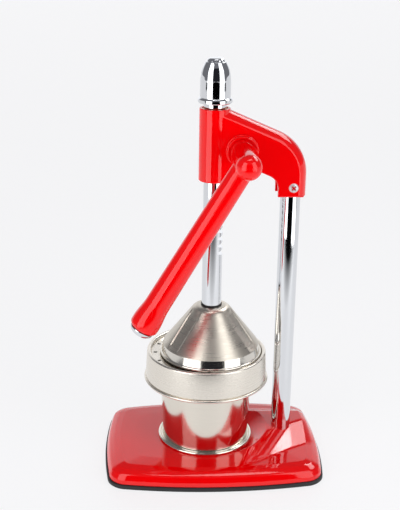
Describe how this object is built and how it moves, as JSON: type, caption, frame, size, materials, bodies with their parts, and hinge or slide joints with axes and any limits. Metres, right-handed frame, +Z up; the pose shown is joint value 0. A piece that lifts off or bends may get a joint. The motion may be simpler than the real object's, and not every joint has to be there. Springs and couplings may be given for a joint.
{
  "type": "citrus press",
  "caption": "Lever-operated citrus press: a rack-and-pinion ram lowers a bell over a reaming cone, strainer and cup on a cast base.",
  "frame": {"origin": "the press axis at the underside of the rubber sole", "axes": "+Z up along the ram, +X from the press axis towards the column, the lever is on the -Y side"},
  "size_m": [0.226, 0.1702, 0.4158],
  "materials": {
    "red_enamel": "gloss stoved enamel on cast metal",
    "black_rubber": "moulded matt rubber",
    "zinc_steel": "zinc-plated steel fasteners",
    "chrome_bar": "bright chrome plate",
    "bronze": "sintered bronze bush",
    "brushed_stainless": "spun and brushed stainless sheet",
    "polished_stainless": "polished stainless sheet",
    "machined_steel": "machined steel, oiled"
  },
  "bodies": {
    "frame": {"base_casting": "red_enamel", "rubber_sole": "black_rubber", "sole_screws": "zinc_steel", "column": "chrome_bar", "column_bolt": "zinc_steel", "column_washer": "zinc_steel", "head_casting": "red_enamel", "head_screw": "chrome_bar", "head_nut": "chrome_bar", "guide_bush_lower": "bronze", "guide_bush_upper": "bronze", "shaft_bush_front": "bronze", "shaft_bush_rear": "bronze"},
    "ram": {"ram": "chrome_bar", "ram_cap": "chrome_bar", "bell": "brushed_stainless", "bell_seal": "black_rubber", "bell_washer": "zinc_steel", "bell_screw": "zinc_steel"},
    "lever": {"pinion": "machined_steel", "pinion_shaft": "machined_steel", "pinion_key": "machined_steel", "shaft_ring": "machined_steel", "lever_hub": "red_enamel", "lever_grub_screw": "machined_steel", "lever_arm": "red_enamel", "lever_end_cap": "chrome_bar"},
    "cup": {"juice_cup": "polished_stainless"},
    "strainer": {"strainer": "brushed_stainless", "reamer_cone": "polished_stainless"}
  },
  "joints": [
    {"name": "lever_swing", "type": "hinge", "parent": "frame", "child": "lever", "pos_m": [0.0256, 0, 0.3296], "axis": [0, 1, 0], "range_deg": [0, 240]},
    {"name": "ram_slide", "type": "slide", "parent": "frame", "child": "ram", "axis": [0, 0, 1], "range_m": [0, 0.0755]},
    {"name": "cup_turn", "type": "hinge", "parent": "frame", "child": "cup", "pos_m": [-0.0043, 0, 0.02], "axis": [0, 0, 1], "continuous": true},
    {"name": "strainer_turn", "type": "hinge", "parent": "cup", "child": "strainer", "pos_m": [-0.0043, 0, 0.1], "axis": [0, 0, 1], "continuous": true}
  ],
  "couplings": [
    {"joint": "ram_slide", "follows": "lever_swing", "m_per_rad": 0.018}
  ]
}
